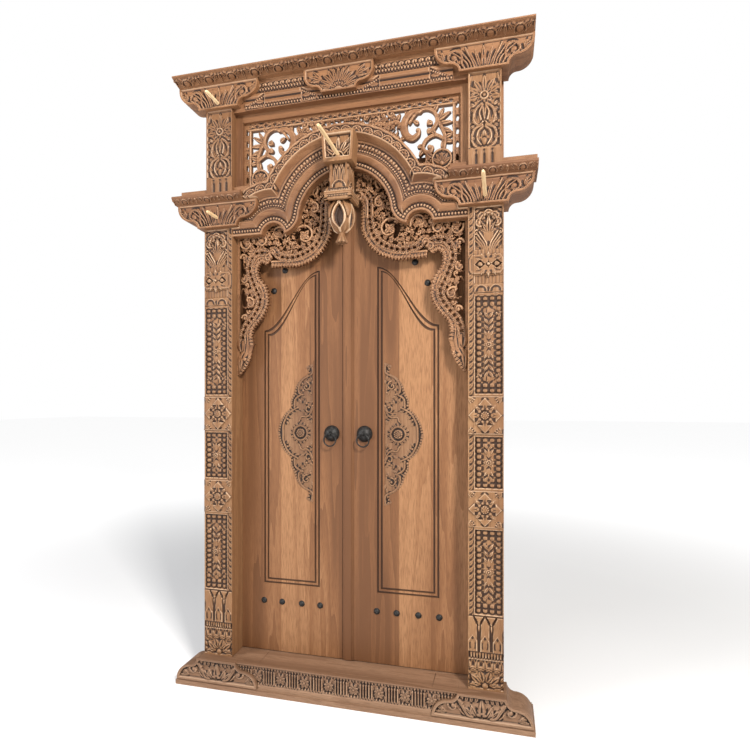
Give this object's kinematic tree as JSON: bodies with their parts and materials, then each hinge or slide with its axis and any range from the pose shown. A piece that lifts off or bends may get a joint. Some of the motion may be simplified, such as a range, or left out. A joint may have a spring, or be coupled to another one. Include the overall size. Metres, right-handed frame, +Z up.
{
  "type": "carved temple door with frame",
  "caption": "Pair of carved wooden door leaves in a free-standing frame with a scalloped arch, a pierced transom, bracket capitals and a hanging pendant.",
  "frame": {"origin": "middle of the underside of the sill beam, on the floor", "axes": "+X to the right seen from the front, +Y from the carved front to the back, +Z up"},
  "size_m": [1.504, 0.445, 2.6],
  "materials": {
    "dark_teak": "oiled teak, brown",
    "carved_teak": "hand-carved teak, satin",
    "leaf_teak": "planed teak boards, satin",
    "post_teak": "hand-carved teak, satin",
    "arch_teak": "hand-carved teak, satin",
    "fret_teak": "pierced and carved teak, satin",
    "pale_wood": "plain turned hardwood",
    "black_iron": "forged iron, blackened"
  },
  "bodies": {
    "frame": {"sill_beam": "dark_teak", "left_base_block": "carved_teak", "right_base_block": "carved_teak", "apron_strip": "carved_teak", "left_post": "post_teak", "right_post": "post_teak", "left_rear_stile": "dark_teak", "right_rear_stile": "dark_teak", "head_board": "dark_teak", "arch_lintel": "arch_teak", "key_block": "arch_teak", "pendant": "arch_teak", "left_lower_bracket": "carved_teak", "right_lower_bracket": "carved_teak", "left_ledge": "carved_teak", "right_ledge": "carved_teak", "left_upper_post": "post_teak", "right_upper_post": "post_teak", "left_transom_stile": "dark_teak", "right_transom_stile": "dark_teak", "transom_rail": "dark_teak", "transom_fretwork": "fret_teak", "left_spandrel_fretwork": "fret_teak", "right_spandrel_fretwork": "fret_teak", "top_beam": "dark_teak", "left_upper_bracket": "carved_teak", "right_upper_bracket": "carved_teak", "center_cartouche": "carved_teak", "cornice": "dark_teak", "center_peg": "pale_wood", "left_upper_peg": "pale_wood", "left_lower_peg": "pale_wood", "right_lower_peg": "pale_wood"},
    "left_leaf_body": {"left_leaf": "leaf_teak", "left_upper_batten": "dark_teak", "left_lower_batten": "dark_teak", "left_pivot_pins": "black_iron", "left_leaf_studs": "black_iron", "left_pull_dome": "black_iron"},
    "right_leaf_body": {"right_leaf": "leaf_teak", "meeting_strip": "leaf_teak", "right_upper_batten": "dark_teak", "right_lower_batten": "dark_teak", "right_pivot_pins": "black_iron", "right_leaf_studs": "black_iron", "right_pull_dome": "black_iron"},
    "left_ring_body": {"left_pull_ring": "black_iron"},
    "right_ring_body": {"right_pull_ring": "black_iron"}
  },
  "joints": [
    {"name": "left_leaf_swing", "type": "hinge", "parent": "frame", "child": "left_leaf_body", "pos_m": [-0.502, 0.064, 0.12], "axis": [0, 0, 1], "range_deg": [0, 95]},
    {"name": "right_leaf_swing", "type": "hinge", "parent": "frame", "child": "right_leaf_body", "pos_m": [0.502, 0.064, 0.12], "axis": [0, 0, -1], "range_deg": [0, 95]},
    {"name": "left_ring_swing", "type": "hinge", "parent": "left_leaf_body", "child": "left_ring_body", "pos_m": [-0.08, 0.0177, 1.08], "axis": [-1, 0, 0], "range_deg": [0, 100]},
    {"name": "right_ring_swing", "type": "hinge", "parent": "right_leaf_body", "child": "right_ring_body", "pos_m": [0.064, 0.0177, 1.08], "axis": [-1, 0, 0], "range_deg": [0, 100]}
  ]
}
